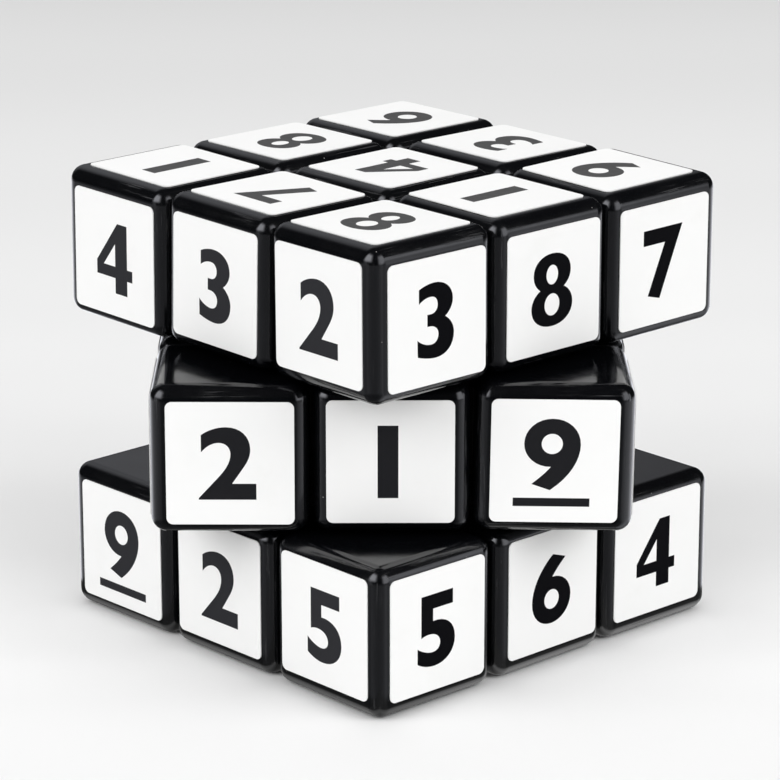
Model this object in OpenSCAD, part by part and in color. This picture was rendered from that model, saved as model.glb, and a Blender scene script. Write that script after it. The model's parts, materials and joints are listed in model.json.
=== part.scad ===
// Sudoku cube: a 3 x 3 x 3 twisty puzzle with a numbered label on every block face.
// Millimetres, +Z up, origin on the table under the middle of the cube.
// The middle layer faces the axes. The top and bottom layers turn about Z and rest part turned.

/* [Cube] */
// Distance between the middles of neighbouring blocks
pitch = 19; // [17:0.5:24]
// Free gap between neighbouring blocks
gap = 0.6; // [0.4:0.1:1]
// Least gap that is left when loose blocks lean
least_gap = 0.2; // [0.1:0.05:0.3]
// Extra reach of the outer faces past an even block
outer_reach = 0.4; // [0:0.05:0.6]
// Rounding of the block edges
edge_r = 1.9; // [0.6:0.1:2.2]
// Wall thickness of the hollow blocks
wall = 1.6; // [1:0.1:2]

/* [Pose] */
// Turn of the top layer at rest, in degrees
top_turn = 42.3; // [0:0.1:90]
// Turn of the bottom layer at rest, in degrees
bottom_turn = 42.9; // [0:0.1:90]

/* [Hooks] */
// Reach of the lip ball past the inner corner of a corner block
neck = 5; // [4:0.25:6]
// Thickness of the hooked feet
foot_t = 5; // [4:0.25:6]
// Reach of a foot under its neighbours
overhang = 3.5; // [2.5:0.25:4]
// Free gap between neighbouring feet
foot_gap = 1; // [0.8:0.1:1.4]
// Free gap between a foot and the blocks above it
lip_gap = 0.8; // [0.5:0.1:1]
// Radius of the pin that joins a foot to its block
pin_r = 2; // [1.2:0.1:2.4]
// Length of that pin above the block's inner wall
pin_reach = 3; // [1:0.5:5]
// Radial clearance of press fits
fit = 0.05; // [0.02:0.01:0.1]

/* [Spindles] */
// Radius of the ball in the middle of the core
core_r = 5.5; // [4.5:0.1:5.6]
// Radius of the six core arms
arm_r = 4; // [3:0.1:4.4]
// Gap between a core arm and the centre piece on it
stalk_gap = 0.3; // [0.2:0.05:0.5]
// Wall of the tube that holds the spring
stalk_wall = 1.2; // [0.9:0.1:1.5]
// Thickness of the floor that the spring presses on
floor_t = 2; // [1.2:0.1:2.4]
// Thickness of a centre cap
cap_t = 3; // [2.4:0.1:3.6]
// Length of the spigot under a centre cap
spigot_h = 3; // [2:0.1:3.4]
// Free height over a screw head
head_room = 2.1; // [1:0.1:2.6]
// Height of a screw head
head_h = 2; // [1.4:0.1:2.4]
// Radius of a screw head
head_r = 2.8; // [2.2:0.1:3]
// Radius of the dome on a screw head
dome_r = 6; // [4:0.5:10]
// Width of the cross slot
slot_w = 0.8; // [0.5:0.1:1.2]
// Depth of the cross slot
slot_depth = 1.1; // [0.6:0.1:1.2]
// Radius of a screw shank
screw_r = 1.5; // [1.2:0.1:1.7]
// Length of a screw in its core arm
screw_grip = 5.5; // [4:0.1:5.8]
// Radial clearance between a screw and the centre piece that turns on it
run_fit = 0.08; // [0.04:0.01:0.1]
// Thickness of a washer
washer_t = 0.5; // [0.3:0.1:0.8]
// Wire of a spring
wire_d = 0.7; // [0.5:0.05:0.75]
// Rise of a spring in one turn
coil_rise = 1.2; // [1.15:0.05:1.3]
// Turns of a spring
coil_turns = 5; // [3:1:5]
// Side room of a spring and a washer in the tube
spring_room = 0.5; // [0.3:0.1:0.7]
// End gap of a spring
spring_gap = 0.1; // [0.05:0.05:0.2]

/* [Labels] */
// Distance from the inner sides of a block to its label
label_margin = 1.6; // [1.2:0.05:3]
// Largest shift of a label out of the middle of its block
label_play = 0.2; // [0:0.05:0.3]
// Corner radius of a label
label_r = 0.8; // [0.3:0.1:2]
// Thickness of a label
label_t = 0.13; // [0.1:0.01:0.4]
// Depth of the ink in a label
ink_depth = 0.06; // [0.04:0.01:0.12]
// Height of a numeral
numeral_h = 9; // [6:0.1:10]
// Rise of the nine above the middle of its label
nine_lift = 0.85; // [0:0.05:1.2]
// Length of the line under a nine
line_w = 9.1; // [6:0.1:11]
// Thickness of the line under a nine
line_t = 1.05; // [0.5:0.05:1.4]
// Distance from the middle of the label down to that line
line_drop = 5.1; // [4.8:0.05:5.6]

/* [Hidden] */
$fn = 64;
block = pitch - gap;
half_pitch = pitch / 2;
face = pitch + block / 2 + outer_reach;
label_w = block - 2 * label_margin;
middle_z = face + label_t;

// Inside the lip ball the pieces are parted at foot_plane, outside it half way between the blocks
lip_r = sqrt(3) * half_pitch + neck;
foot_top_r = lip_r - lip_gap;
foot_in_r = foot_top_r - foot_t;
foot_plane = half_pitch - overhang;
foot_half_w = foot_plane - foot_gap / 2;
foot_start = foot_plane + foot_gap / 2;
block_start = half_pitch + gap / 2;

// Places along a spindle, from the label face down to the core
cap_seat = face - cap_t;
head_z = cap_seat - spigot_h - head_room - head_h;
washer_z = head_z - washer_t;
coil_h = coil_turns * coil_rise + wire_d;
coil_z = washer_z - spring_gap - coil_h;
well_floor = coil_z - spring_gap;
stalk_start = well_floor - floor_t;
arm_end = stalk_start - stalk_gap;
stalk_r = foot_half_w;
well_r = stalk_r - stalk_wall;
coil_r = well_r - spring_room;
COIL_RINGS = 8;
COIL_SIDES = 6;

// Largest lean of a loose block that still leaves least_gap
lean_max = atan(max(gap - least_gap, 0) / block);

LAYERS = [-1, 0, 1];
SIDES = [0, 1, 2, 3];
CORNER_SPOTS = [[-1, -1], [1, -1], [1, 1], [-1, 1]];
EDGE_SPOTS = [[0, -1], [1, 0], [0, 1], [-1, 0]];
LAYER_NAMES = ["bottom", "middle", "top"];
SIDE_NAMES = ["front", "right", "back", "left"];
CENTRE_NAMES = ["front", "right", "back", "left", "top", "bottom"];

// Numerals of the side faces, seen from outside from left to right, for each layer and side
SIDE_NUMERALS = [
  [[5, 6, 4], [3, 9, 8], [1, 7, 2], [9, 2, 5]],
  [[2, 1, 9], [6, 7, 3], [8, 5, 1], [4, 6, 7]],
  [[3, 8, 7], [5, 9, 2], [7, 4, 5], [4, 3, 2]]
];
// Numerals of the top face from back to front, and the turn of each row
TOP_NUMERALS = [[1, 8, 6], [7, 4, 3], [8, 1, 6]];
TOP_ROW_TURNS = [90, 90, -90];
// Numerals of the bottom face, seen from below
BOTTOM_NUMERALS = [[9, 1, 8], [4, 9, 2], [6, 5, 3]];
BOTTOM_ROW_TURNS = [0, 180, 0];
// Printing offset of the numerals on the labels of each side
PRINT_SHIFTS = [[-0.3, 0], [-0.3, 0], [-0.2, -0.1], [0.05, -0.25]];

// Blocks that have settled out of line: place in the layer, then shares of lean_max about X, Y and Z
LEANS = [
  [[-1, -1, 1], [-0.4, 0.05, -0.65]],
  [[0, -1, 1], [0.1, -0.15, -0.55]],
  [[1, -1, 1], [0.45, -0.45, -0.65]],
  [[1, 0, 1], [0.25, 0.85, 0.85]],
  [[1, 1, 1], [-0.45, 0, -0.7]],
  [[0, 1, 1], [-0.45, -0.05, -0.5]],
  [[-1, 1, 1], [0.5, 0, 0.2]],
  [[-1, 0, 1], [0.7, 0.5, 0.5]],
  [[-1, -1, 0], [0.4, 0.1, -0.1]],
  [[1, -1, 0], [0, 0.7, 0.2]],
  [[1, 1, 0], [0.3, 0.1, -0.3]],
  [[-1, 1, 0], [0.2, -0.3, 0.2]],
  [[-1, -1, -1], [0, 0, -0.55]],
  [[0, -1, -1], [0, 0, 0.15]],
  [[1, -1, -1], [0, 0, -0.45]],
  [[-1, 1, -1], [0, 0, 0.1]]
];
// Labels that sit out of line: place in the layer, face, then shares of label_play across and up
LABEL_SHIFTS = [
  [[-1, -1, 1], 0, [0.2, -0.8]],
  [[0, -1, 1], 0, [-0.3, 0]],
  [[1, -1, 1], 0, [-0.3, -0.1]],
  [[-1, 1, 1], 3, [0.5, -1]],
  [[-1, 0, 1], 3, [0.9, -0.1]],
  [[-1, -1, 1], 3, [0, 1]],
  [[-1, -1, 0], 0, [-0.5, -1]],
  [[0, -1, 0], 0, [-0.9, -0.5]],
  [[1, -1, 0], 0, [0.8, -0.2]],
  [[-1, -1, -1], 0, [-1, 0]],
  [[0, -1, -1], 0, [0.3, 0.7]],
  [[1, -1, -1], 0, [-1, 1]],
  [[-1, 1, -1], 3, [1, -1]],
  [[-1, -1, -1], 3, [0.8, 0.7]],
  [[-1, -1, 1], 4, [-0.6, -0.4]],
  [[-1, 0, 1], 4, [1, -1]],
  [[-1, 1, 1], 4, [-0.2, -1]],
  [[0, -1, 1], 4, [-1, 1]],
  [[0, 0, 1], 4, [1, -1]],
  [[0, 1, 1], 4, [0.9, 0.3]],
  [[1, -1, 1], 4, [-1, 0.6]],
  [[1, 0, 1], 4, [1, -0.1]],
  [[1, 1, 1], 4, [-0.1, 0.4]],
  [[1, -1, 1], 1, [0.4, -0.6]],
  [[1, 0, 0], 1, [-0.7, 0.3]],
  [[1, 1, -1], 1, [0.2, 0.5]],
  [[0, 1, 1], 2, [-0.5, -0.3]],
  [[-1, 1, 0], 2, [0.6, 0.2]],
  [[1, 1, -1], 2, [-0.2, -0.7]],
  [[-1, -1, 0], 3, [0.3, 0.6]],
  [[-1, 0, 0], 3, [-0.8, -0.2]]
];

// Size and middle of block b, whose outer faces stand out by outer_reach
function block_size(b) = [for (v = b) block + abs(v) * outer_reach];
function block_middle(b) = b * (pitch + outer_reach / 2);

// Names of the pieces
function depth_word(y) = y < 0 ? "front" : "back";
function width_word(x) = x < 0 ? "left" : "right";
function layer_word(z) = LAYER_NAMES[z + 1];
function corner_name(s, z) = str(layer_word(z), "_corner_", depth_word(s.y), "_", width_word(s.x));
function edge_name(i, z) = str(layer_word(z), "_edge_", SIDE_NAMES[i]);
function pillar_name(s) = str("middle_edge_", depth_word(s.y), "_", width_word(s.x));
function centre_name(i) = str(CENTRE_NAMES[i], "_centre");
function cap_name(i) = str(CENTRE_NAMES[i], "_centre_cap");
function labels_name(k, z) = str(layer_word(z), "_layer_", SIDE_NAMES[k], "_labels");

// Place in the layer of the block that carries column c of side k
function side_spot(c, k) = [[c, -1], [1, c], [-c, 1], [-1, -c]][k];
function layer_turn(z) = [bottom_turn, 0, top_turn][z + 1];
function lean(b) = let (hits = [for (row = LEANS) if (row[0] == b) row[1]])
  len(hits) == 0 ? [0, 0, 0] : hits[0] * lean_max;
function label_shift(b, i) = let (hits = [for (row = LABEL_SHIFTS) if (row[0] == b && row[1] == i) row[2]])
  len(hits) == 0 ? [0, 0] : hits[0] * label_play;

// Points of a cubic curve after its first one
CURVE_STEPS = 8;
function curve(p, q, r, s) = [
  for (i = [1 : CURVE_STEPS])
    let (t = i / CURVE_STEPS, u = 1 - t)
      p * u * u * u + q * 3 * t * u * u + r * 3 * t * t * u + s * t * t * t
];
// An outline from a start point: a stretch of one point is a line, a stretch of three is a curve
function stretch(p, parts, i) =
  i == len(parts) ? []
  : len(parts[i]) == 1 ? concat(parts[i], stretch(parts[i][0], parts, i + 1))
  : concat(curve(p, parts[i][0], parts[i][1], parts[i][2]), stretch(parts[i][2], parts, i + 1));
function outline(p, parts) = concat([p], stretch(p, parts, 0));
function oval(c, rx, ry) = [
  for (i = [0 : 4 * CURVE_STEPS - 1])
    let (a = 90 * i / CURVE_STEPS) c + [rx * cos(a), ry * sin(a)]
];
function mirrored(points) = [for (i = [len(points) - 1 : -1 : 0]) [-points[i].x, points[i].y]];

// The numerals, drawn about their middle and 9 mm high
DRAWN_H = 9;
module one() {
  square([2.46, DRAWN_H], center = true);
}
module two() {
  polygon(outline([-3.44, -4.5], [
    [[3.39, -4.5]],
    [[3.39, -2.5]],
    [[0.53, -2.5]],
    [[1.85, -0.55]],
    [[2.4, 0.25], [2.71, 0.95], [2.71, 1.75]],
    [[2.71, 3.4], [1.55, 4.53], [-0.15, 4.53]],
    [[-1.3, 4.53], [-2.4, 4.1], [-3.11, 3.55]],
    [[-3.11, 1.4]],
    [[-2.5, 2.15], [-1.8, 2.58], [-1.0, 2.58]],
    [[-0.2, 2.58], [0.36, 2.0], [0.36, 1.2]],
    [[0.36, 0.2], [-0.15, -0.6], [-0.95, -1.55]],
    [[-3.44, -4.3]]
  ]));
}
module three() {
  polygon(outline([-2.59, 4.0], [
    [[-1.8, 4.35], [-1.0, 4.52], [-0.2, 4.52]],
    [[1.5, 4.52], [2.69, 3.5], [2.69, 2.2]],
    [[2.69, 1.35], [2.2, 0.7], [1.51, 0.22]],
    [[2.3, -0.25], [2.86, -1.0], [2.86, -1.9]],
    [[2.86, -3.45], [1.7, -4.5], [0, -4.5]],
    [[-1.0, -4.5], [-2.0, -4.25], [-2.79, -3.98]],
    [[-2.84, -1.95]],
    [[-2.2, -2.5], [-1.4, -2.8], [-0.7, -2.8]],
    [[0, -2.8], [0.43, -2.35], [0.43, -1.7]],
    [[0.43, -1.0], [-0.2, -0.6], [-1.0, -0.6]],
    [[-1.29, -0.6]],
    [[-1.29, 0.85]],
    [[-0.75, 0.83]],
    [[-0.1, 0.83], [0.32, 1.25], [0.32, 1.85]],
    [[0.32, 2.5], [-0.1, 2.9], [-0.75, 2.9]],
    [[-1.5, 2.9], [-2.1, 2.65], [-2.59, 2.26]]
  ]));
}
module four() {
  difference() {
    polygon([
      [0.58, 4.45], [2.43, 4.45], [2.43, -1.05], [3.43, -1.05], [3.43, -2.5], [2.43, -2.5],
      [2.43, -4.45], [0.13, -4.45], [0.13, -2.5], [-3.42, -2.5], [-3.42, -0.75]
    ]);
    polygon([[0.13, 1.8], [0.13, -1.05], [-2.1, -1.05]]);
  }
}
module five() {
  polygon(outline([-2.39, 4.53], [
    [[2.71, 4.53]],
    [[2.71, 2.7]],
    [[-0.49, 2.7]],
    [[-0.49, 1.15]],
    [[1.6, 1.3], [3.06, 0.2], [3.06, -1.65]],
    [[3.06, -3.35], [1.65, -4.55], [-0.25, -4.55]],
    [[-1.3, -4.55], [-2.25, -4.25], [-2.99, -3.77]],
    [[-2.99, -1.82]],
    [[-2.3, -2.35], [-1.3, -2.75], [-0.55, -2.75]],
    [[0.2, -2.75], [0.66, -2.35], [0.66, -1.72]],
    [[0.66, -0.95], [-0.1, -0.42], [-1.15, -0.42]],
    [[-1.6, -0.42], [-2.0, -0.5], [-2.39, -0.67]]
  ]));
}
module six() {
  difference() {
    polygon(outline([0.2, 4.45], [
      [[2.4, 3.7]],
      [[1.55, 3.0], [0.75, 2.3], [0.15, 1.55]],
      [[1.9, 1.6], [3.36, 0.35], [3.36, -1.3]],
      [[3.36, -3.1], [1.85, -4.42], [0, -4.42]],
      [[-1.85, -4.42], [-3.33, -3.1], [-3.33, -1.2]],
      [[-3.33, 0.6], [-2.2, 2.75], [0.2, 4.45]]
    ]));
    polygon(oval([0.05, -1.3], 1.25, 1.25));
  }
}
module seven() {
  polygon([[-3.34, 4.44], [3.36, 4.44], [-0.39, -4.46], [-2.44, -3.88], [0.36, 2.52], [-3.34, 2.52]]);
}
module eight() {
  right = outline([0, 4.49], [
    [[1.75, 4.49], [3.06, 3.55], [3.06, 2.12]],
    [[3.06, 1.25], [2.6, 0.6], [1.94, 0.17]],
    [[2.8, -0.25], [3.38, -1.0], [3.38, -1.98]],
    [[3.38, -3.5], [1.9, -4.48], [0, -4.48]]
  ]);
  difference() {
    polygon(concat(right, mirrored([for (i = [1 : len(right) - 2]) right[i]])));
    polygon(oval([0, 1.86], 0.95, 1.2));
    polygon(oval([0, -1.8], 1.22, 1.35));
  }
}
module numeral_shape(n) {
  size = numeral_h / DRAWN_H;
  if (n == 1) scale(size) one();
  if (n == 2) scale(size) two();
  if (n == 3) scale(size) three();
  if (n == 4) scale(size) four();
  if (n == 5) scale(size) five();
  if (n == 6) scale(size) six();
  if (n == 7) scale(size) seven();
  if (n == 8) scale(size) eight();
  if (n == 9) {
    translate([0, nine_lift]) rotate(180) scale(size) six();
    translate([0, -line_drop]) square([line_w, line_t], center = true);
  }
}

// A box with rounded edges and ball corners, from parts that meet face to face
module both(axis) {
  children();
  mirror(axis) children();
}
module edge_bar(l) {
  rotate_extrude(angle = 90) square([edge_r, l]);
}
module corner_ball() {
  rotate_extrude(angle = 90) intersection() {
    circle(r = edge_r);
    square([edge_r, edge_r]);
  }
}
module rounded_box(size) {
  half = size / 2 - [edge_r, edge_r, edge_r];
  cube([size.x, 2 * half.y, 2 * half.z], center = true);
  both([0, 1, 0]) translate([-half.x, half.y, -half.z]) cube([2 * half.x, edge_r, 2 * half.z]);
  both([0, 0, 1]) translate([-half.x, -half.y, half.z]) cube([2 * half.x, 2 * half.y, edge_r]);
  both([1, 0, 0]) both([0, 1, 0]) {
    translate([half.x, half.y, -half.z]) edge_bar(2 * half.z);
    both([0, 0, 1]) translate(half) corner_ball();
  }
  both([1, 0, 0]) both([0, 0, 1])
    translate([half.x, -half.y, half.z]) rotate([-90, -90, 0]) edge_bar(2 * half.y);
  both([0, 1, 0]) both([0, 0, 1])
    translate([-half.x, half.y, half.z]) rotate([90, 0, 90]) edge_bar(2 * half.x);
}
// The outside of block b
module outer_block(b) {
  translate(block_middle(b)) rounded_box(block_size(b));
}

// Puts a piece of layer z in its place at rest
module in_layer(z) {
  translate([0, 0, middle_z]) rotate([0, 0, layer_turn(z)]) children();
}
// Leans a piece of block b about the middle of the block
module leaning(b) {
  translate(b * pitch) rotate(lean(b)) translate(-b * pitch) children();
}
// Points the Z axis along b
module along(b) {
  rotate([0, acos(b.z / norm(b)), atan2(b.y, b.x)]) children();
}
// Carries the top face to face i of the cube
module on_face(i) {
  if (i < 4) rotate([0, 0, 90 * i]) rotate([90, 0, 0]) children();
  if (i == 4) children();
  if (i == 5) rotate([180, 0, 0]) children();
}

// A hollow corner or edge block, with its inner wall round the lip ball and a hole for the foot's pin
module hollow_block(b) {
  leaning(b) difference() {
    outer_block(b);
    sphere(r = lip_r);
    difference() {
      translate(block_middle(b)) cube(block_size(b) - 2 * wall * [1, 1, 1], center = true);
      sphere(r = lip_r + wall);
    }
    along(b) translate([0, 0, lip_r - wall]) cylinder(h = 3 * wall, r = pin_r + fit);
  }
}
// The box that a foot fills: start is its first plane on the axes that point along b
module foot_room(b, start) {
  far = lip_r;
  size = [for (v = b) v == 0 ? 2 * foot_half_w : far - start];
  translate(b * (start + far) / 2) cube(size, center = true);
}
// The hooked foot of block b: it reaches under the neighbours and is pinned to its own block
module hooked_foot(b) {
  leaning(b) difference() {
    union() {
      intersection() {
        sphere(r = foot_top_r);
        foot_room(b, foot_start);
      }
      intersection() {
        sphere(r = lip_r - fit);
        foot_room(b, block_start);
      }
      along(b) translate([0, 0, foot_top_r - foot_t / 2])
        cylinder(h = foot_t / 2 + lip_gap + wall + pin_reach, r = pin_r);
    }
    sphere(r = foot_in_r);
  }
}
module corner_feet(z) {
  color("#1c1c1e") in_layer(z) for (s = CORNER_SPOTS) hooked_foot([s.x, s.y, z]);
}
module edge_feet(z) {
  color("#1c1c1e") in_layer(z) for (s = z == 0 ? CORNER_SPOTS : EDGE_SPOTS) hooked_foot([s.x, s.y, z]);
}
module corner_block(s, z) {
  color("#0c0c0e") in_layer(z) hollow_block([s.x, s.y, z]);
}
module edge_block(s, z) {
  color("#0c0c0e") in_layer(z) hollow_block([s.x, s.y, z]);
}

// Layer that the centre piece of face i turns with
function face_layer(i) = i < 4 ? 0 : i == 4 ? 1 : -1;

// A centre piece: the lower part of its block, and the tube that holds the screw and spring
module centre_piece(i) {
  color("#0c0c0e") in_layer(face_layer(i)) on_face(i) difference() {
    union() {
      difference() {
        intersection() {
          outer_block([0, 0, 1]);
          translate([-block, -block, 0]) cube([2 * block, 2 * block, cap_seat]);
        }
        sphere(r = lip_r);
        difference() {
          translate([-block / 2 + wall, -block / 2 + wall, 0])
            cube([block - 2 * wall, block - 2 * wall, face]);
          sphere(r = lip_r + wall);
          cylinder(h = face, r = well_r + wall);
        }
      }
      translate([0, 0, stalk_start]) cylinder(h = lip_r + wall / 2 - stalk_start, r = stalk_r);
    }
    translate([0, 0, well_floor]) cylinder(h = face, r = well_r);
    cylinder(h = face, r = screw_r + run_fit);
  }
}
// The cap that closes a centre piece and carries its label
module centre_cap(i) {
  color("#0c0c0e") in_layer(face_layer(i)) on_face(i) {
    intersection() {
      outer_block([0, 0, 1]);
      translate([-block, -block, cap_seat]) cube([2 * block, 2 * block, block]);
    }
    translate([0, 0, cap_seat - spigot_h]) cylinder(h = spigot_h + cap_t / 2, r = well_r - fit);
  }
}
// The core: a ball with six drilled arms
module core() {
  color("#c9c7bd") in_layer(0) difference() {
    union() {
      sphere(r = core_r);
      for (i = [0 : 5]) on_face(i) cylinder(h = arm_end, r = arm_r);
    }
    for (i = [0 : 5]) on_face(i) translate([0, 0, arm_end - screw_grip])
      cylinder(h = face, r = screw_r + fit);
  }
}
module spindle_screws() {
  shank_z = arm_end - screw_grip;
  color("#b9bcc0") in_layer(0) for (i = [0 : 5]) on_face(i) difference() {
    union() {
      translate([0, 0, shank_z]) cylinder(h = head_z + head_h / 2 - shank_z, r = screw_r);
      intersection() {
        translate([0, 0, head_z]) cylinder(h = head_h, r = head_r);
        translate([0, 0, head_z + head_h - dome_r]) sphere(r = dome_r);
      }
    }
    for (a = [0, 90]) rotate([0, 0, a]) translate([0, 0, head_z + head_h])
      cube([2 * (head_r - slot_w), slot_w, 2 * slot_depth], center = true);
  }
}
module washers() {
  color("#b9bcc0") in_layer(0) for (i = [0 : 5]) on_face(i) translate([0, 0, washer_z]) difference() {
    cylinder(h = washer_t, r = coil_r);
    translate([0, 0, -washer_t]) cylinder(h = 3 * washer_t, r = screw_r + run_fit);
  }
}

// Points and faces of one spring, and the least gap between its turns
coil_count = coil_turns * COIL_RINGS + 1;
COIL_POINTS = [
  for (i = [0 : coil_count - 1], j = [0 : COIL_SIDES - 1])
    let (a = 360 * i / COIL_RINGS, t = 360 * j / COIL_SIDES)
    let (reach = coil_r - wire_d / 2 + wire_d / 2 * cos(t))
      [reach * cos(a), reach * sin(a), wire_d / 2 + coil_rise * i / COIL_RINGS + wire_d / 2 * sin(t)]
];
COIL_FACES = concat(
  [for (i = [0 : coil_count - 2], j = [0 : COIL_SIDES - 1], half = [0, 1])
    let (n = (j + 1) % COIL_SIDES, low = i * COIL_SIDES, high = low + COIL_SIDES)
      half == 0 ? [low + j, high + j, low + n] : [low + n, high + j, high + n]],
  [for (j = [1 : COIL_SIDES - 2]) [0, j, j + 1]],
  [for (j = [1 : COIL_SIDES - 2]) let (low = (coil_count - 1) * COIL_SIDES) [low, low + j + 1, low + j]]
);
function coil_self_gap() = min([
  for (i = [0 : coil_count - COIL_RINGS / 2 - 1], k = [i + COIL_RINGS / 2 : coil_count - 1])
    for (j = [0 : COIL_SIDES - 1], m = [0 : COIL_SIDES - 1])
      norm(COIL_POINTS[i * COIL_SIDES + j] - COIL_POINTS[k * COIL_SIDES + m])
]);
module tension_springs() {
  echo(least_gap_between_spring_turns = coil_self_gap());
  color("#a9adb2") in_layer(0) for (i = [0 : 5]) on_face(i) translate([0, 0, coil_z])
    polyhedron(COIL_POINTS, COIL_FACES);
}

// Labels, drawn on the XY plane and sunk where the ink lies
module label_shape() {
  inner = label_w - 2 * label_r;
  square([label_w, inner], center = true);
  square([inner, label_w], center = true);
  for (x = [-1, 1], y = [-1, 1]) translate([x, y] * inner / 2) circle(r = label_r);
}
module label(n, shift) {
  difference() {
    linear_extrude(label_t) label_shape();
    translate([0, 0, label_t - ink_depth]) linear_extrude(label_t) translate(shift) numeral_shape(n);
  }
}
module ink(n, shift) {
  translate([0, 0, label_t - ink_depth]) linear_extrude(ink_depth) translate(shift) numeral_shape(n);
}
// Puts a label or numeral on column c of side k in layer z
module on_side(c, k, z) {
  s = side_spot(c, k);
  b = [s.x, s.y, z];
  leaning(b) rotate([0, 0, 90 * k]) translate([c * pitch, -face, z * pitch]) rotate([90, 0, 0])
    translate(label_shift(b, k)) children();
}
module on_top(x, y, turn) {
  b = [x, y, 1];
  leaning(b) translate([x * pitch, y * pitch, face]) translate(label_shift(b, 4)) rotate([0, 0, turn])
    children();
}
module on_bottom(x, y, turn) {
  leaning([x, -y, -1]) rotate([180, 0, 0]) translate([x * pitch, y * pitch, face]) rotate([0, 0, turn])
    children();
}
module side_labels(k, z) {
  color("#f3f3f1") in_layer(z) for (c = [-1 : 1])
    on_side(c, k, z) label(SIDE_NUMERALS[z + 1][k][c + 1], PRINT_SHIFTS[k]);
}
module top_face_labels() {
  color("#f3f3f1") in_layer(1) for (x = [-1 : 1], y = [-1 : 1])
    on_top(x, y, TOP_ROW_TURNS[1 - y]) label(TOP_NUMERALS[1 - y][x + 1], PRINT_SHIFTS[0]);
}
module bottom_face_labels() {
  color("#f3f3f1") in_layer(-1) for (x = [-1 : 1], y = [-1 : 1])
    on_bottom(x, y, BOTTOM_ROW_TURNS[1 - y]) label(BOTTOM_NUMERALS[1 - y][x + 1], PRINT_SHIFTS[0]);
}
module numerals(z) {
  color("#1a1b1d") in_layer(z) {
    for (k = SIDES, c = [-1 : 1]) on_side(c, k, z) ink(SIDE_NUMERALS[z + 1][k][c + 1], PRINT_SHIFTS[k]);
    for (x = [-1 : 1], y = [-1 : 1]) {
      if (z == 1) on_top(x, y, TOP_ROW_TURNS[1 - y]) ink(TOP_NUMERALS[1 - y][x + 1], PRINT_SHIFTS[0]);
      if (z == -1)
        on_bottom(x, y, BOTTOM_ROW_TURNS[1 - y]) ink(BOTTOM_NUMERALS[1 - y][x + 1], PRINT_SHIFTS[0]);
    }
  }
}

core();
spindle_screws();
tension_springs();
washers();
for (i = [0 : 5]) centre_piece(i);
for (i = [0 : 5]) centre_cap(i);
for (z = [-1, 1], s = CORNER_SPOTS) corner_block(s, z);
for (z = [-1, 1], i = SIDES) edge_block(EDGE_SPOTS[i], z);
for (s = CORNER_SPOTS) edge_block(s, 0);
corner_feet(1);  // top_corner_feet
corner_feet(-1);  // bottom_corner_feet
edge_feet(1);  // top_edge_feet
edge_feet(-1);  // bottom_edge_feet
edge_feet(0);  // middle_edge_feet
for (z = LAYERS, k = SIDES) side_labels(k, z);
top_face_labels();
bottom_face_labels();
numerals(1);  // top_layer_numerals
numerals(0);  // middle_layer_numerals
numerals(-1);  // bottom_layer_numerals
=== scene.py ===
"""Dresses the sudoku cube: worn black blocks, printed labels, spindles inside and a light tent round it."""

from __future__ import annotations

import json
import logging
import math
from dataclasses import dataclass
from enum import Enum
from typing import Any

import bmesh
import bpy
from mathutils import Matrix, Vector

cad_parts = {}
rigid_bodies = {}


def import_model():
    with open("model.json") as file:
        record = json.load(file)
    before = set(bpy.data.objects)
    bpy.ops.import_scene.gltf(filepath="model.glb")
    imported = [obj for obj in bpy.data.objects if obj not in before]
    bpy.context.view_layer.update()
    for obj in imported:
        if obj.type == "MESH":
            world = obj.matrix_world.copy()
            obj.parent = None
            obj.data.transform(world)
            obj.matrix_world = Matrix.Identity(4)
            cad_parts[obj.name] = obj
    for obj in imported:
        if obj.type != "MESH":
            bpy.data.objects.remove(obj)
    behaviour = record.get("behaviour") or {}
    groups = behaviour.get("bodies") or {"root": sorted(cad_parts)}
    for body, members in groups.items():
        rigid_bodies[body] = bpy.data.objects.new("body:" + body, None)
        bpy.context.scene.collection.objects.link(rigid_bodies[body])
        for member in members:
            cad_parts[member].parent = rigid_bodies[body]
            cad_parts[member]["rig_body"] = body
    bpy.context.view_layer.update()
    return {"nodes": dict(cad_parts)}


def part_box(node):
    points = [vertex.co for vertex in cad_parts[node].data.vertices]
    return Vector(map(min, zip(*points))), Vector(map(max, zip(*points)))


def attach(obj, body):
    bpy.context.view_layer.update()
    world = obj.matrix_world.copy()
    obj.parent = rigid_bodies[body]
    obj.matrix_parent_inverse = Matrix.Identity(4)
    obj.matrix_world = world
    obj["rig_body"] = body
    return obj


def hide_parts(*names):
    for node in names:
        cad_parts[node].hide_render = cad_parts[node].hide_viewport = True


LOG = logging.getLogger("sudoku_cube")

Colour = tuple[float, float, float]
Step = tuple[float, float]
Span = tuple[float, float, float, float]
Stops = tuple[tuple[float, float], ...]
Socket = bpy.types.NodeSocket
Nodes = dict[str, bpy.types.Object]


class Layer(Enum):
    """The three layers of the cube, each named as the body that it rides on."""

    BOTTOM = "bottom_layer"
    MIDDLE = "middle_layer"
    TOP = "top_layer"

    @property
    def front_block(self) -> str:
        """The node at the middle of the layer's own front face."""
        return {
            Layer.BOTTOM: "bottom_edge_front",
            Layer.MIDDLE: "front_centre_cap",
            Layer.TOP: "top_edge_front",
        }[self]

    def turn(self) -> float:
        """Works out how far the layer is turned about Z at rest.

        Returns:
            The angle in radians, read from the place of the layer's front block.
        """
        low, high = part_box(self.front_block)
        middle = (low + high) / 2
        return math.atan2(middle.x, -middle.y)


class Axis(Enum):
    """The directions that edges and scratches run in."""

    X = 0
    Y = 1
    Z = 2

    def stretch(self, along: float, across: float) -> Colour:
        """Gives pattern scales that draw a pattern out along this axis.

        Args:
            along: Scale along the axis, per metre.
            across: Scale across the axis, per metre.

        Returns:
            The three scales.
        """
        scales = [across, across, across]
        scales[self.value] = along
        return tuple(scales)


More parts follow.
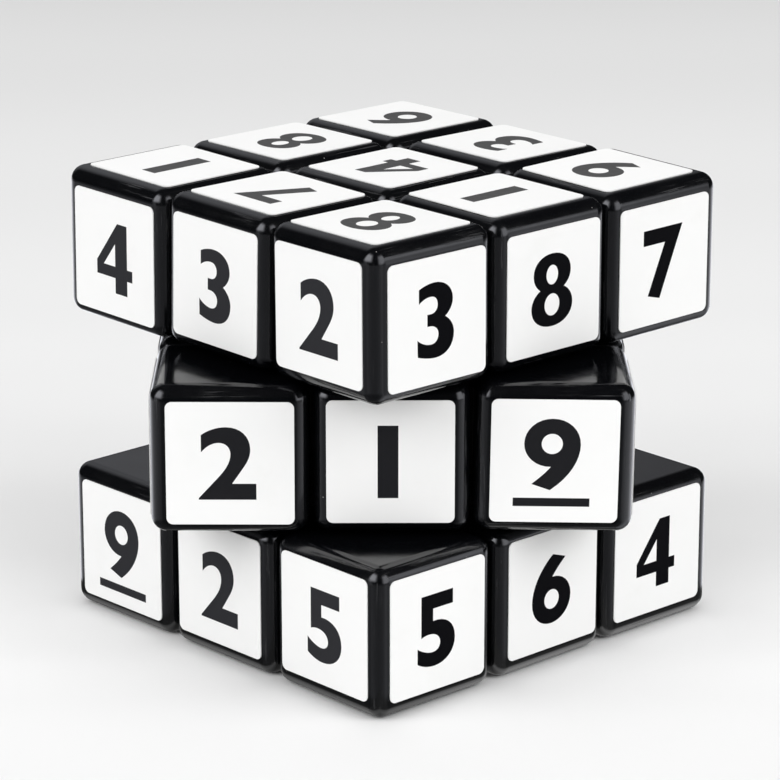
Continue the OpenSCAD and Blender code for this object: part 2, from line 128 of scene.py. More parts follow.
class Spindle(Enum):
    """The six spindles on the core's arms."""

    UP = "up"
    DOWN = "down"
    RIGHT = "right"
    LEFT = "left"
    FRONT = "front"
    BACK = "back"

    def carry(self, point: Vector) -> Vector:
        """Turns a point drawn on the upper spindle to this one."""
        x, y, z = point
        return Vector({
            Spindle.UP: (x, y, z),
            Spindle.DOWN: (x, -y, -z),
            Spindle.RIGHT: (z, x, y),
            Spindle.LEFT: (-z, x, -y),
            Spindle.FRONT: (x, -z, y),
            Spindle.BACK: (x, z, -y),
        }[self])


class Graph:
    """A shader tree that is filled by short calls."""

    def __init__(self, tree: bpy.types.ShaderNodeTree) -> None:
        """Empties the tree."""
        self.tree = tree
        tree.nodes.clear()

    def add(self, kind: str, inputs: dict[str | int, Any] | None = None, **settings: Any) -> bpy.types.Node:
        """Adds a node.

        Args:
            kind: The node's type, without its ShaderNode prefix.
            inputs: A socket to link or a value to set, by the input's name or number.
            settings: The node's own properties.

        Returns:
            The new node.
        """
        node = self.tree.nodes.new("ShaderNode" + kind)
        for name, value in settings.items():
            setattr(node, name, value)
        for key, value in (inputs or {}).items():
            if isinstance(value, Socket):
                self.tree.links.new(value, node.inputs[key])
            else:
                node.inputs[key].default_value = value
        return node

    def math(self, operation: str, first: Socket | float, second: Socket | float = 0.0) -> Socket:
        """Adds a Math node and returns its result."""
        return self.add("Math", {0: first, 1: second}, operation=operation).outputs[0]

    def fade(self, value: Socket, start: float, end: float, low: float = 0.0, high: float = 1.0) -> Socket:
        """Adds a smooth step.

        Args:
            value: What is read.
            start: The value that gives low.
            end: The value that gives high.
            low: The result at start.
            high: The result at end.

        Returns:
            The stepped value.
        """
        inputs = {"Value": value, "From Min": start, "From Max": end, "To Min": low, "To Max": high}
        return self.add("MapRange", inputs, interpolation_type="SMOOTHSTEP").outputs[0]

    def noise(self, place: Socket, scale: float, detail: float = 2.0, rough: float = 0.5) -> Socket:
        """Adds a noise pattern.

        Args:
            place: The coordinates that it is drawn in.
            scale: Waves per unit of those coordinates.
            detail: Octaves of finer waves.
            rough: Share of the finer waves.

        Returns:
            The noise, about one half.
        """
        inputs = {"Vector": place, "Scale": scale, "Detail": detail, "Roughness": rough}
        return self.add("TexNoise", inputs).outputs[0]

    def ramp(self, value: Socket, stops: Stops) -> Socket:
        """Reads a grey off a row of stops.

        Args:
            value: What is read.
            stops: Rising values and the grey at each.

        Returns:
            The grey.
        """
        start, end = stops[0][0], stops[-1][0]
        share = self.add("MapRange", {"Value": value, "From Min": start, "From Max": end}).outputs[0]
        node = self.add("ValToRGB", {0: share})
        node.color_ramp.interpolation = "EASE"
        marks = node.color_ramp.elements
        while len(marks) < len(stops):
            marks.new(0.5)
        for mark, (at, grey) in zip(marks, stops):
            mark.position = (at - start) / (end - start)
            mark.color = (grey, grey, grey, 1.0)
        return node.outputs[0]

    def scaled(self, place: Socket, scales: Colour) -> Socket:
        """Multiplies coordinates by three scales."""
        return self.add("VectorMath", {0: place, 1: scales}, operation="MULTIPLY").outputs[0]

    def blend(self, share: Socket, first: Socket | Colour, second: Socket | Colour) -> Socket:
        """Mixes two colours.

        Args:
            share: Share of the second colour.
            first: The colour at a share of 0.
            second: The colour at a share of 1.

        Returns:
            The mixed colour.
        """
        pair = [c if isinstance(c, Socket) else (*c, 1.0) for c in (first, second)]
        node = self.add("Mix", {0: share, 6: pair[0], 7: pair[1]}, data_type="RGBA")
        return node.outputs[2]

    def bump(self, height: Socket, depth: float, strength: float = 1.0) -> Socket:
        """Turns a height into a normal.

        Args:
            height: The height pattern.
            depth: Metres for a height of one.
            strength: Share of the bump that shows.

        Returns:
            The bent normal.
        """
        return self.add("Bump", {"Height": height, "Distance": depth, "Strength": strength}).outputs[0]


def new_material(name: str) -> tuple[bpy.types.Material, Graph]:
    """Makes an empty node material.

    Args:
        name: The material's name.

    Returns:
        The material and its graph.
    """
    material = bpy.data.materials.new(name)
    material.use_nodes = True
    return material, Graph(material.node_tree)


def close(graph: Graph, inputs: dict[str | int, Any]) -> None:
    """Ends a graph in one surface shader with these inputs."""
    shader = graph.add("BsdfPrincipled", inputs)
    graph.add("OutputMaterial", {"Surface": shader.outputs[0]})


@dataclass(frozen=True)
class BlockPlastic:
    """Polished black moulding whose rounded edges are scuffed and dusty.

    Depths are in metres and pattern scales per metre. A step is where a smooth change starts and ends.

    Attributes:
        colour: The clean plastic.
        scuff_colour: The plastic in a scuff.
        scuff_share: Share of that colour in a full scuff.
        scuff_roughness: Roughness that a full scuff adds.
        scratch_depth: Depth of a full scuff.
        dust_colour: The specks.
        sheen: Specular level of the rounded edges.
        flat_sheen: Specular level of the flats.
        sheen_step: Change from one to the other over the mask of the edges.
        gloss: Least roughness.
        cloud: Roughness that the cloudy handling adds.
        cloud_scale: Scale of that handling.
        cloud_step: Its change over the noise.
        round_step: Largest part of the direction where a flat becomes an edge.
        streak_along: Scale of the scratches along an edge.
        streak_across: Scale of the scratches across it.
        streak_step: Noise from which a scratch shows.
        streak_facing: Part of the direction along an edge below which its scratches show.
        patch_scale: Scale of the patches that the scratches lie in.
        patch_step: Noise from which a patch shows.
        speck_scale: Scale of the specks' cells.
        speck_size: Radius of a speck in its cell.
        speck_share: Share of the cells that stay clean.
        peel_scale: Scale of the moulding's waviness.
        peel_depth: Depth of that waviness.
    """

    colour: Colour = (0.0016, 0.0018, 0.0024)
    scuff_colour: Colour = (0.030, 0.030, 0.032)
    scuff_share: float = 0.8
    scuff_roughness: float = 0.38
    scratch_depth: float = 0.000018
    dust_colour: Colour = (0.30, 0.29, 0.28)
    sheen: float = 0.85
    flat_sheen: float = 0.40
    sheen_step: Step = (0.0, 0.6)
    gloss: float = 0.10
    cloud: float = 0.07
    cloud_scale: float = 240.0
    cloud_step: Step = (0.3, 0.7)
    round_step: Step = (0.995, 0.91)
    streak_along: float = 110.0
    streak_across: float = 2600.0
    streak_step: Step = (0.53, 0.70)
    streak_facing: Step = (0.30, 0.10)
    patch_scale: float = 85.0
    patch_step: Step = (0.42, 0.66)
    speck_scale: float = 620.0
    speck_size: float = 0.055
    speck_share: float = 0.86
    peel_scale: float = 420.0
    peel_depth: float = 0.000006

    def rounded(self, graph: Graph, facing: Socket) -> tuple[Socket, list[Socket]]:
        """Finds the rounded edges from the surface's direction.

        Args:
            graph: The graph to add to.
            facing: The surface's direction in the layer's own frame.

        Returns:
            A mask of the rounded edges, and the size of the direction's three parts.
        """
        sizes = graph.add("VectorMath", {0: facing}, operation="ABSOLUTE").outputs[0]
        parts = list(graph.add("SeparateXYZ", {0: sizes}).outputs)
        largest = graph.math("MAXIMUM", graph.math("MAXIMUM", parts[0], parts[1]), parts[2])
        return graph.fade(largest, *self.round_step), parts

    def streaks(self, graph: Graph, place: Socket, parts: list[Socket]) -> Socket:
        """Draws scratches that run along each rounded edge.

        Args:
            graph: The graph to add to.
            place: Coordinates in the layer's own frame.
            parts: The size of the surface direction's three parts.

        Returns:
            A pattern that is one in a scratch.
        """
        found: Socket | float = 0.0
        for axis in Axis:
            drawn = graph.scaled(place, axis.stretch(self.streak_along, self.streak_across))
            lines = graph.fade(graph.noise(drawn, 1.0, detail=3.0, rough=0.6), *self.streak_step)
            here = graph.fade(parts[axis.value], *self.streak_facing)
            found = graph.math("MAXIMUM", graph.math("MULTIPLY", lines, here), found)
        return found

    def specks(self, graph: Graph, place: Socket) -> Socket:
        """Strews small specks of dust.

        Args:
            graph: The graph to add to.
            place: Coordinates in the layer's own frame.

        Returns:
            A pattern that is one in a speck.
        """
        cells = graph.add("TexVoronoi", {"Vector": place, "Scale": self.speck_scale})
        chance = graph.add("SeparateXYZ", {0: cells.outputs["Color"]}).outputs[0]
        here = graph.math("GREATER_THAN", chance, self.speck_share)
        spot = graph.fade(cells.outputs["Distance"], self.speck_size, 0.5 * self.speck_size)
        return graph.math("MULTIPLY", spot, here)

    def material(self, name: str, turn: float) -> bpy.types.Material:
        """Makes the material for one layer.

        Args:
            name: The material's name.
            turn: The layer's turn about Z, in radians.

        Returns:
            The material.
        """
        made, graph = new_material(name)
        source = graph.add("TexCoord")
        turned = [
            graph.add("VectorRotate", {"Vector": source.outputs[key], "Angle": -turn}, rotation_type="Z_AXIS")
            for key in ("Object", "Normal")
        ]
        place, facing = (node.outputs[0] for node in turned)
        edge, parts = self.rounded(graph, facing)
        streak = self.streaks(graph, place, parts)
        patch = graph.fade(graph.noise(place, self.patch_scale, detail=3.0), *self.patch_step)
        worn = graph.math("MULTIPLY", graph.math("MULTIPLY", streak, patch), edge)
        speck = self.specks(graph, place)
        cloud = graph.noise(place, self.cloud_scale, detail=4.0, rough=0.6)
        rest = graph.fade(cloud, *self.cloud_step, self.gloss, self.gloss + self.cloud)
        roughness = graph.math("ADD", rest, graph.math("MULTIPLY", worn, self.scuff_roughness))
        colour = graph.blend(graph.math("MULTIPLY", worn, self.scuff_share), self.colour, self.scuff_colour)
        peel = graph.noise(place, self.peel_scale)
        height = graph.math(
            "SUBTRACT",
            graph.math("MULTIPLY", peel, self.peel_depth),
            graph.math("MULTIPLY", worn, self.scratch_depth),
        )
        close(graph, {
            "Base Color": graph.blend(speck, colour, self.dust_colour),
            "Roughness": roughness,
            "Specular IOR Level": graph.fade(edge, *self.sheen_step, self.flat_sheen, self.sheen),
            "Normal": graph.bump(height, 1.0),
        })
        return made


@dataclass(frozen=True)
class LabelVinyl:
    """Satin white vinyl with a faint grain and a trace of handling.

    Attributes:
        colour: The clean vinyl.
        soiled: The vinyl where it was handled most.
        soil_step: Noise over which it turns soiled.
        sheen: Specular level.
        smooth: Least roughness.
        dull: Greatest roughness.
        smear_scale: Scale of the handling.
        smear_step: Noise over which it turns dull.
        grain_scale: Scale of the grain.
        grain_depth: Depth of the grain.
    """

    colour: Colour = (0.86, 0.86, 0.855)
    soiled: Colour = (0.835, 0.835, 0.825)
    soil_step: Step = (0.55, 0.85)
    sheen: float = 0.04
    smooth: float = 0.34
    dull: float = 0.48
    smear_scale: float = 160.0
    smear_step: Step = (0.3, 0.7)
    grain_scale: float = 2600.0
    grain_depth: float = 0.000004

    def material(self, name: str) -> bpy.types.Material:
        """Makes the material under the given name."""
        made, graph = new_material(name)
        place = graph.add("TexCoord").outputs["Object"]
        smear = graph.noise(place, self.smear_scale, detail=4.0, rough=0.55)
        grain = graph.noise(place, self.grain_scale)
        close(graph, {
            "Base Color": graph.blend(graph.fade(smear, *self.soil_step), self.colour, self.soiled),
            "Roughness": graph.fade(smear, *self.smear_step, self.smooth, self.dull),
            "Specular IOR Level": self.sheen,
            "Normal": graph.bump(grain, self.grain_depth),
        })
        return made


@dataclass(frozen=True)
class PrintedInk:
    """Matt black print, with painted sheen: paler on the faces to the left and paler still where it faces up.

    Attributes:
        colour: The fresh print.
        left_sheen_colour: The print on the faces to the left, painted paler as painted sheen.
        left_sheen_step: Part of the direction to the right over which the painted sheen comes in.
        top_sheen_and_thin_print_colour: The print on the faces that look up, painted paler as painted sheen;
            also the colour that thin print turns to.
        top_sheen_step: Part of the direction upwards over which the painted sheen comes in.
        sheen: Specular level.
        smooth: Least roughness.
        dull: Greatest roughness.
        mottle: Share of the pale top colour where the print is thin.
        mottle_scale: Scale of the thin places.
        mottle_step: Noise over which the print turns thin and dull.
        grain_scale: Scale of the grain.
        grain_depth: Depth of the grain.
    """

    colour: Colour = (0.0030, 0.0031, 0.0040)
    left_sheen_colour: Colour = (0.0270, 0.0273, 0.0305)
    left_sheen_step: Step = (0.65, -0.70)
    top_sheen_and_thin_print_colour: Colour = (0.079, 0.079, 0.080)
    top_sheen_step: Step = (0.5, 0.9)
    sheen: float = 0.02
    smooth: float = 0.42
    dull: float = 0.56
    mottle: float = 0.008
    mottle_scale: float = 900.0
    mottle_step: Step = (0.3, 0.7)
    grain_scale: float = 3200.0
    grain_depth: float = 0.000004

    def material(self, name: str) -> bpy.types.Material:
        """Makes the material under the given name."""
        made, graph = new_material(name)
        source = graph.add("TexCoord")
        place = source.outputs["Object"]
        right, _, up = graph.add("SeparateXYZ", {0: source.outputs["Normal"]}).outputs
        mottle = graph.noise(place, self.mottle_scale, detail=3.0, rough=0.6)
        grain = graph.noise(place, self.grain_scale)
        # Painted sheen: the print is drawn paler on the faces to the left.
        colour_with_left_sheen = graph.blend(graph.fade(right, *self.left_sheen_step), self.colour, self.left_sheen_colour)
        # Painted sheen: the print is drawn paler still on the faces that look up.
        colour_with_top_sheen = graph.blend(graph.fade(up, *self.top_sheen_step), colour_with_left_sheen, self.top_sheen_and_thin_print_colour)
        thin = graph.fade(mottle, *self.mottle_step, high=self.mottle)
        close(graph, {
            "Base Color": graph.blend(thin, colour_with_top_sheen, self.top_sheen_and_thin_print_colour),
            "Roughness": graph.fade(mottle, *self.mottle_step, self.smooth, self.dull),
            "Specular IOR Level": self.sheen,
            "Normal": graph.bump(grain, self.grain_depth),
        })
        return made


@dataclass(frozen=True)
class MouldedPlastic:
    """A plain moulding with a fine spark-eroded grain.

    Attributes:
        colour: The plastic.
        shade: The plastic where it clouds.
        smooth: Least roughness.
        dull: Greatest roughness.
        sheen: Specular level.
        cloud_scale: Scale of the clouds.
        cloud_step: Noise over which the plastic clouds.
        grain_scale: Scale of the grain.
        grain_step: Noise over which it turns dull.
        grain_depth: Depth of the grain.
    """

    colour: Colour
    shade: Colour
    smooth: float
    dull: float
    sheen: float = 0.45
    cloud_scale: float = 360.0
    cloud_step: Step = (0.35, 0.7)
    grain_scale: float = 1800.0
    grain_step: Step = (0.3, 0.7)
    grain_depth: float = 0.000012

    def material(self, name: str) -> bpy.types.Material:
        """Makes the material under the given name."""
        made, graph = new_material(name)
        place = graph.add("TexCoord").outputs["Object"]
        cloud = graph.noise(place, self.cloud_scale, detail=3.0)
        grain = graph.noise(place, self.grain_scale, detail=3.0, rough=0.6)
        close(graph, {
            "Base Color": graph.blend(graph.fade(cloud, *self.cloud_step), self.colour, self.shade),
            "Roughness": graph.fade(grain, *self.grain_step, self.smooth, self.dull),
            "Specular IOR Level": self.sheen,
            "Normal": graph.bump(grain, self.grain_depth),
        })
        return made


@dataclass(frozen=True)
class ZincSteel:
    """Bright zinc over steel, with drawn lines and a cloudy bloom.

    Attributes:
        colour: The bright zinc.
        bloom: The zinc where it clouds.
        bloom_step: Noise over which it clouds.
        smooth: Least roughness.
        dull: Greatest roughness.
        dull_step: Noise over which it turns dull.
        cloud_scale: Scale of the clouds.
        line_scale: Scale of the drawn lines.
        line_depth: Depth of the drawn lines.
    """

    colour: Colour = (0.62, 0.63, 0.65)
    bloom: Colour = (0.44, 0.45, 0.48)
    bloom_step: Step = (0.4, 0.7)
    smooth: float = 0.22
    dull: float = 0.42
    dull_step: Step = (0.3, 0.7)
    cloud_scale: float = 500.0
    line_scale: float = 5200.0
    line_depth: float = 0.000005

    def material(self, name: str) -> bpy.types.Material:
        """Makes the material under the given name."""
        made, graph = new_material(name)
        place = graph.add("TexCoord").outputs["Object"]
        cloud = graph.noise(place, self.cloud_scale, detail=4.0, rough=0.6)
        lines = graph.noise(place, self.line_scale, detail=1.0)
        close(graph, {
            "Base Color": graph.blend(graph.fade(cloud, *self.bloom_step), self.colour, self.bloom),
            "Metallic": 1.0,
            "Roughness": graph.fade(cloud, *self.dull_step, self.smooth, self.dull),
            "Normal": graph.bump(lines, self.line_depth),
        })
        return made


BLOCK_FINISH = BlockPlastic()
LABEL_FINISH = LabelVinyl()
INK_FINISH = PrintedInk()
STEEL_FINISH = ZincSteel()
FOOT_FINISH = MouldedPlastic(
    colour=(0.016, 0.016, 0.017), shade=(0.024, 0.024, 0.025), smooth=0.42, dull=0.58,
)
CORE_FINISH = MouldedPlastic(
    colour=(0.62, 0.60, 0.54), shade=(0.55, 0.53, 0.47), smooth=0.40, dull=0.55,
)


def dress(piece: bpy.types.Object, material: bpy.types.Material) -> None:
    """Gives every material slot of a piece this material."""
    for place in piece.material_slots:
        place.material = material


@dataclass
class CubeLayer:
    """One layer: its blocks and the labels and numerals on them.

    Attributes:
        layer: Which layer it is.
        nodes: The layer's nodes by name.
        labels: The labels' material.
        ink: The numerals' material.
    """

    layer: Layer
    nodes: Nodes
    labels: bpy.types.Material
    ink: bpy.types.Material

    def build(self) -> None:
        """Dresses every node of the layer by what it is."""
        turn = self.layer.turn()
        plastic = BLOCK_FINISH.material(f"{self.layer.value}_block_plastic", turn)
        for name, piece in sorted(self.nodes.items()):
            if name.endswith("_labels"):
                dress(piece, self.labels)
            elif name.endswith("_numerals"):
                dress(piece, self.ink)
            else:
                dress(piece, plastic)
            LOG.info("dressed %s", name)


@dataclass
class Mechanism:
    """The core, the spindles on it and the hooked feet of the blocks.

    Attributes:
        nodes: The mechanism's nodes by name.
        wire: Diameter of a spring's wire.
        turns: Turns of a spring.
        rings: Rings of points in one turn.
        sides: Points round the wire.
    """

    nodes: Nodes
    wire: float = 0.0007
    turns: int = 5
    rings: int = 32
    sides: int = 12

    def spring_span(self) -> tuple[float, float, float]:
        """Reads the place of the springs from their node.

        Returns:
            The outer radius of a spring, and the nearest and farthest reach of its wire
            from the core's middle.
        """
        low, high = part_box("tension_springs")
        middle = (low + high) / 2
        spots = [v.co - middle for v in self.nodes["tension_springs"].data.vertices]
        own = [p for p in spots if p.x > max(abs(p.y), abs(p.z))]
        radius = max(math.hypot(p.y, p.z) for p in own)
        return radius, min(p.x for p in own), max(p.x for p in own)

    def spring_mesh(self) -> bpy.types.Mesh:
        """Winds the six springs as smooth round wire.

        Returns:
            One mesh with a closed coil on each spindle.
        """
        radius, near, far = self.spring_span()
        centre = sum(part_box("core"), Vector()) / 2
        middle = radius - self.wire / 2
        rings = [self.ring(i, middle, near, far) for i in range(self.turns * self.rings + 1)]
        mesh = bmesh.new()
        for spindle in Spindle:
            rows = [[mesh.verts.new(centre + spindle.carry(point)) for point in ring] for ring in rings]
            for low, high in zip(rows, rows[1:]):
                for j in range(self.sides):
                    k = (j + 1) % self.sides
                    mesh.faces.new((low[j], low[k], high[k], high[j]))
            mesh.faces.new(rows[0][::-1])
            mesh.faces.new(rows[-1])
        bmesh.ops.recalc_face_normals(mesh, faces=mesh.faces)
        for face in mesh.faces:
            face.smooth = len(face.verts) == 4
        made = bpy.data.meshes.new("spindle_springs")
        mesh.to_mesh(made)
        mesh.free()
        return made

    def ring(self, index: int, radius: float, near: float, far: float) -> list[Vector]:
        """Gives one ring of points round the wire, on a spindle along Z.

        Args:
            index: Number of the ring along the wire.
            radius: Radius of the wire's middle.
            near: Lowest reach of the coil.
            far: Highest reach of the coil.

        Returns:
            The ring's points.
        """
        half = self.wire / 2
        share = index / (self.turns * self.rings)
        angle = math.tau * index / self.rings
        height = near + half + (far - near - self.wire) * share
        points = []
        for j in range(self.sides):
            tilt = math.tau * j / self.sides
            reach = radius + half * math.cos(tilt)
            rise = height + half * math.sin(tilt)
            points.append(Vector((reach * math.cos(angle), reach * math.sin(angle), rise)))
        return points

    def build(self) -> None:
        """Dresses the mechanism and winds its springs."""
        steel = STEEL_FINISH.material("zinc_steel")
        foot = FOOT_FINISH.material("foot_moulding")
        core = CORE_FINISH.material("core_moulding")
        for name, piece in sorted(self.nodes.items()):
            if name == "core":
                dress(piece, core)
            elif name.endswith("_feet"):
                dress(piece, foot)
            else:
                dress(piece, steel)
            LOG.info("dressed %s", name)
        springs = bpy.data.objects.new("spindle_springs", self.spring_mesh())
        bpy.context.scene.collection.objects.link(springs)
        springs.data.materials.append(steel)
        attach(springs, Layer.MIDDLE.value)
        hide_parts("tension_springs")
        LOG.info("wound %s", springs.name)


@dataclass
class PhotoCamera:
    """The camera, aimed near the middle of the core.

    Attributes:
        distance: Metres from the aim.
        azimuth: Degrees round from the front.
        elevation: Degrees above the horizon.
        lens: Focal length in millimetres.
        sensor: Width of the sensor in millimetres.
        nearest: Distance from which it sees.
        offset: Shift of the aim off the middle of the core.
    """

    distance: float = 0.4549
    azimuth: float = -0.26
    elevation: float = 17.13
    lens: float = 167.2
    sensor: float = 36.0
    nearest: float = 0.01
    offset: Colour = (-0.00011, 0.0, -0.00006)

    def build(self) -> None:
        """Makes the camera and sets it as the scene's own."""
        aim = sum(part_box("core"), Vector()) / 2 + Vector(self.offset)
        side, rise = math.radians(self.azimuth), math.radians(self.elevation)
        back = Vector((math.sin(side) * math.cos(rise), -math.cos(side) * math.cos(rise), math.sin(rise)))
        camera = bpy.data.objects.new("photo_camera", bpy.data.cameras.new("photo_camera"))
        camera.data.lens = self.lens
        camera.data.sensor_width = self.sensor
        camera.data.clip_start = self.nearest
        camera.location = aim + back * self.distance
        camera.rotation_mode = "QUATERNION"
        camera.rotation_quaternion = (-back).to_track_quat("-Z", "Y")
        bpy.context.scene.collection.objects.link(camera)
        bpy.context.scene.camera = camera
        LOG.info("aimed %s", camera.name)


@dataclass(frozen=True)
class Panel:
    """A lit panel of the tent.

    Attributes:
        sides: Shares of a turn, from the left round the front, where it starts, is full,
            is full last and ends.
        heights: Rise over the horizon in the same order, as the sine of its angle.
        brightness: Brightness of its middle.
    """

    sides: Span
    heights: Span
    brightness: float

    def glow(self, graph: Graph, side: Socket, height: Socket) -> Socket:
        """Draws the panel on the dome.

        Args:
            graph: The graph to add to.
            side: The share of a turn.
            height: The rise over the horizon.

        Returns:
            Its brightness.
        """
        found: Socket | float = self.brightness
        for value, (start, full, last, end) in ((side, self.sides), (height, self.heights)):
            found = graph.math("MULTIPLY", graph.fade(value, start, full), found)
            found = graph.math("MULTIPLY", graph.fade(value, end, last), found)
        return found


@dataclass
class Studio:
    """A light tent: a pale floor under a dome of light, with other panels for what glossy surfaces see.

    Attributes:
        floor_half: Half the width of the floor.
        painted_shade_floor_greys: Distance behind the cube and the floor's reflectance there, drawn lighter
            and darker in bands as painted light and shade.
        paper_roughness: Roughness of the floor.
        painted_reflection_greys: Reach from the axis, and the glow there of the strip of floor that glossy
            surfaces see, a painted reflection in the blocks' lower edges.
        painted_reflection_end: Reach at which they no longer see the glowing strip.
        painted_reflection_side: Distance to the right over which the painted reflection grows brighter.
        painted_reflection_lift: How many times as bright it is at the start and at the end of that.
        dome: Brightness of the dome for matt surfaces.
        lamps: The lit panels for matt surfaces.
        lit_tint: Colour of both.
        roof: Brightness of the dome for glossy surfaces.
        table_greys: Share of a turn from the left round the front, and the table's brightness
            there in reflections.
        table_step: Rise over the horizon, as a sine, over which the table shows.
        near_greys: The same as table_greys for the table close to the cube.
        near_step: Rise over which that takes the table's place.
        panels: The lit panels for glossy surfaces.
        seen_tint: Colour of all that glossy surfaces see.
    """

    floor_half: float = 3.0
    painted_shade_floor_greys: Stops = (
        (-0.05, 0.79), (-0.035, 0.795), (-0.019, 0.85), (0.002, 0.92), (0.025, 0.852), (0.05, 0.822),
        (0.078, 0.775), (0.109, 0.755), (0.144, 0.73), (0.227, 0.689), (0.335, 0.632), (0.42, 0.59),
    )
    paper_roughness: float = 0.9
    painted_reflection_greys: Stops = (
        (0.0272, 0.15), (0.0278, 0.30), (0.0284, 0.55), (0.0290, 0.50), (0.0300, 0.12), (0.0350, 0.12),
    )
    painted_reflection_end: float = 0.0365
    painted_reflection_side: Step = (-0.01, 0.02)
    painted_reflection_lift: Step = (1.0, 2.0)
    dome: float = 0.31
    lamps: tuple[Panel, ...] = (
        Panel((-0.03, 0.05, 0.11, 0.25), (0.20, 0.40, 0.70, 0.90), 3.55),
        Panel((0.25, 0.39, 0.45, 0.53), (0.20, 0.40, 0.70, 0.90), 3.50),
        Panel((-0.2, -0.1, 1.1, 1.2), (0.80, 0.92, 1.1, 1.2), 0.87),
    )
    lit_tint: Colour = (1.0, 1.0, 1.0)
    roof: float = 0.018
    table_greys: Stops = (
        (0.0, 0.46), (0.03, 0.36), (0.08, 0.27), (0.13, 0.21), (0.18, 0.17), (0.25, 0.16),
        (0.31, 0.20), (0.35, 0.29), (0.39, 0.44), (0.44, 0.61), (0.48, 0.70), (0.52, 0.82),
        (0.56, 1.30), (0.62, 1.70), (0.88, 1.70), (0.93, 1.00), (0.97, 0.55), (1.0, 0.46),
    )
    table_step: Step = (-0.03, -0.25)
    near_greys: Stops = (
        (0.0, 0.08), (0.25, 0.06), (0.36, 0.10), (0.43, 0.45),
        (0.50, 0.85), (0.57, 0.60), (0.66, 0.10), (1.0, 0.08),
    )
    near_step: Step = (-0.38, -0.60)
    panels: tuple[Panel, ...] = (
        Panel((0.0, 0.05, 0.125, 0.215), (0.0, 0.40, 0.70, 0.94), 2.9),
        Panel((0.0, 0.02, 0.06, 0.12), (-0.30, -0.15, 0.25, 0.40), 0.45),
        Panel((0.29, 0.36, 0.43, 0.468), (-0.14, 0.02, 0.60, 0.86), 1.6),
        Panel((0.44, 0.468, 0.487, 0.502), (-0.25, -0.15, 0.36, 0.46), 1.2),
        Panel((0.70, 0.76, 0.84, 0.915), (0.0, 0.45, 0.60, 0.90), 0.45),
    )
    seen_tint: Colour = (0.975, 0.99, 1.06)

    def floor_material(self) -> bpy.types.Material:
        """Makes the floor's matt white, with painted light and shade in bands in front of and behind the
        cube.

        Glossy surfaces see only a glowing strip of it next to the cube, a painted reflection, and the tent's
        table beyond that.

        Returns:
            The material.
        """
        made, graph = new_material("floor_paper")
        made.cycles.emission_sampling = "NONE"
        place = graph.add("TexCoord").outputs["Object"]
        across, depth, _ = graph.add("SeparateXYZ", {0: place}).outputs
        # Painted light and shade: the floor is drawn lightest beside the cube and darker in bands in front of
        # and behind it.
        grey = graph.ramp(depth, self.painted_shade_floor_greys)
        matt = {"Base Color": grey, "Roughness": self.paper_roughness, "Specular IOR Level": 0.0}
        paper = graph.add("BsdfPrincipled", matt)
        turned = {"Vector": place, "Angle": -Layer.BOTTOM.turn()}
        own = graph.add("VectorRotate", turned, rotation_type="Z_AXIS").outputs[0]
        sizes = graph.add("VectorMath", {0: own}, operation="ABSOLUTE").outputs[0]
        x, y, _ = graph.add("SeparateXYZ", {0: sizes}).outputs
        reach = graph.math("MAXIMUM", x, y)
        # Painted reflection: the strip next to the cube glows for glossy rays and is brighter to the right,
        # though it is no lamp.
        painted_reflection_rise = graph.fade(across, *self.painted_reflection_side, *self.painted_reflection_lift)
        painted_reflection_glow = graph.math("MULTIPLY", graph.ramp(reach, self.painted_reflection_greys), painted_reflection_rise)
        strip = graph.add("Emission", {"Strength": painted_reflection_glow})
        clear = graph.add("BsdfTransparent")
        beyond = graph.fade(reach, self.painted_reflection_greys[-1][0], self.painted_reflection_end)
        seen = graph.add("MixShader", {0: beyond, 1: strip.outputs[0], 2: clear.outputs[0]})
        ray = graph.add("LightPath").outputs["Is Glossy Ray"]
        mixed = graph.add("MixShader", {0: ray, 1: paper.outputs[0], 2: seen.outputs[0]})
        graph.add("OutputMaterial", {"Surface": mixed.outputs[0]})
        return made

    def floor(self) -> None:
        """Lays the floor under the cube."""
        mesh = bmesh.new()
        bmesh.ops.create_grid(mesh, x_segments=1, y_segments=1, size=self.floor_half)
        made = bpy.data.meshes.new("floor")
        mesh.to_mesh(made)
        mesh.free()
        made.materials.append(self.floor_material())
        floor = bpy.data.objects.new("floor", made)
        bpy.context.scene.collection.objects.link(floor)

    def tent(self) -> None:
        """Lights the world, with one set of panels for matt surfaces and another for glossy ones."""
        world = bpy.data.worlds.new("light_tent")
        world.use_nodes = True
        bpy.context.scene.world = world
        graph = Graph(world.node_tree)
        x, y, height = graph.add("SeparateXYZ", {0: graph.add("TexCoord").outputs["Generated"]}).outputs
        side = graph.math("ADD", graph.math("DIVIDE", graph.math("ARCTAN2", y, x), math.tau), 0.5)
        near = graph.fade(height, *self.near_step)
        table = graph.blend(near, graph.ramp(side, self.table_greys), graph.ramp(side, self.near_greys))
        seen = graph.math("MULTIPLY", table, graph.fade(height, *self.table_step))
        for panel in self.panels:
            seen = graph.math("ADD", seen, panel.glow(graph, side, height))
        lit: Socket | float = self.dome
        for lamp in self.lamps:
            lit = graph.math("ADD", lamp.glow(graph, side, height), lit)
        strength = graph.math("ADD", seen, self.roof)
        glossy = graph.add("Background", {"Color": (*self.seen_tint, 1.0), "Strength": strength})
        even = graph.add("Background", {"Color": (*self.lit_tint, 1.0), "Strength": lit})
        ray = graph.add("LightPath").outputs["Is Glossy Ray"]
        mixed = graph.add("MixShader", {0: ray, 1: even.outputs[0], 2: glossy.outputs[0]})
        graph.add("OutputWorld", {"Surface": mixed.outputs[0]})

    def build(self) -> None:
        """Makes the floor and the tent."""
        self.floor()
        self.tent()
        bpy.context.scene.view_settings.view_transform = "Standard"
        LOG.info("lit the studio")


MECHANISM = ("core", "spindle_screws", "tension_springs", "washers")


def is_mechanism(name: str) -> bool:
    """Tells whether a node belongs to the mechanism."""
    return name in MECHANISM or name.endswith("_feet")


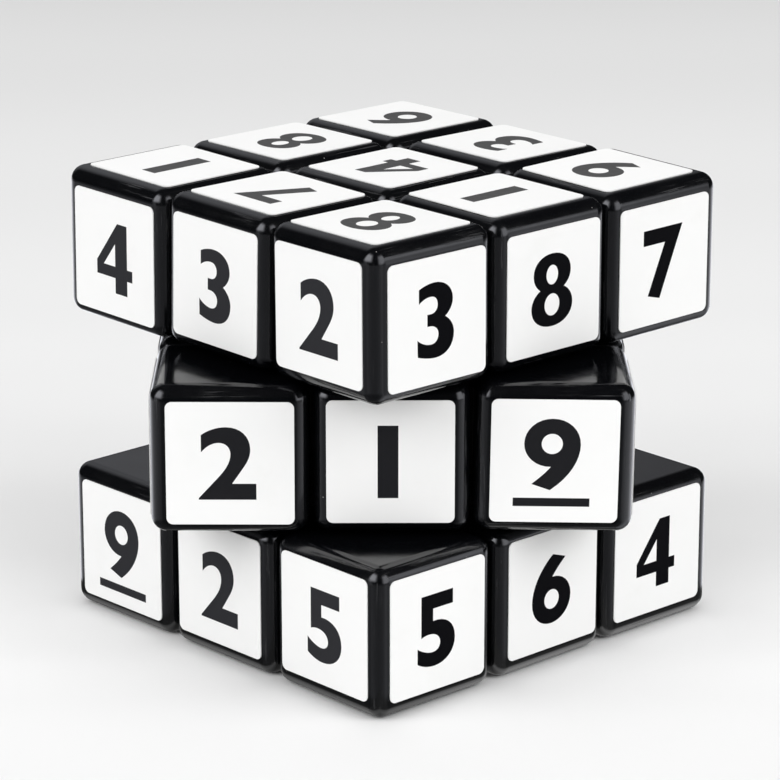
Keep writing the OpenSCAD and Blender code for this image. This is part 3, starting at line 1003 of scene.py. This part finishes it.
def main() -> None:
    """Loads the frame, builds the camera, the cube and the studio."""
    logging.basicConfig(level=logging.INFO, format="%(name)s: %(message)s")
    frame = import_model()
    PhotoCamera().build()
    labels = LABEL_FINISH.material("label_vinyl_white")
    ink = INK_FINISH.material("printed_ink_black")
    for layer in Layer:
        own = {
            name: piece
            for name, piece in frame["nodes"].items()
            if piece["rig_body"] == layer.value and not is_mechanism(name)
        }
        CubeLayer(layer, own, labels, ink).build()
    Mechanism({name: piece for name, piece in frame["nodes"].items() if is_mechanism(name)}).build()
    Studio().build()


if __name__ == "__main__":
    main()
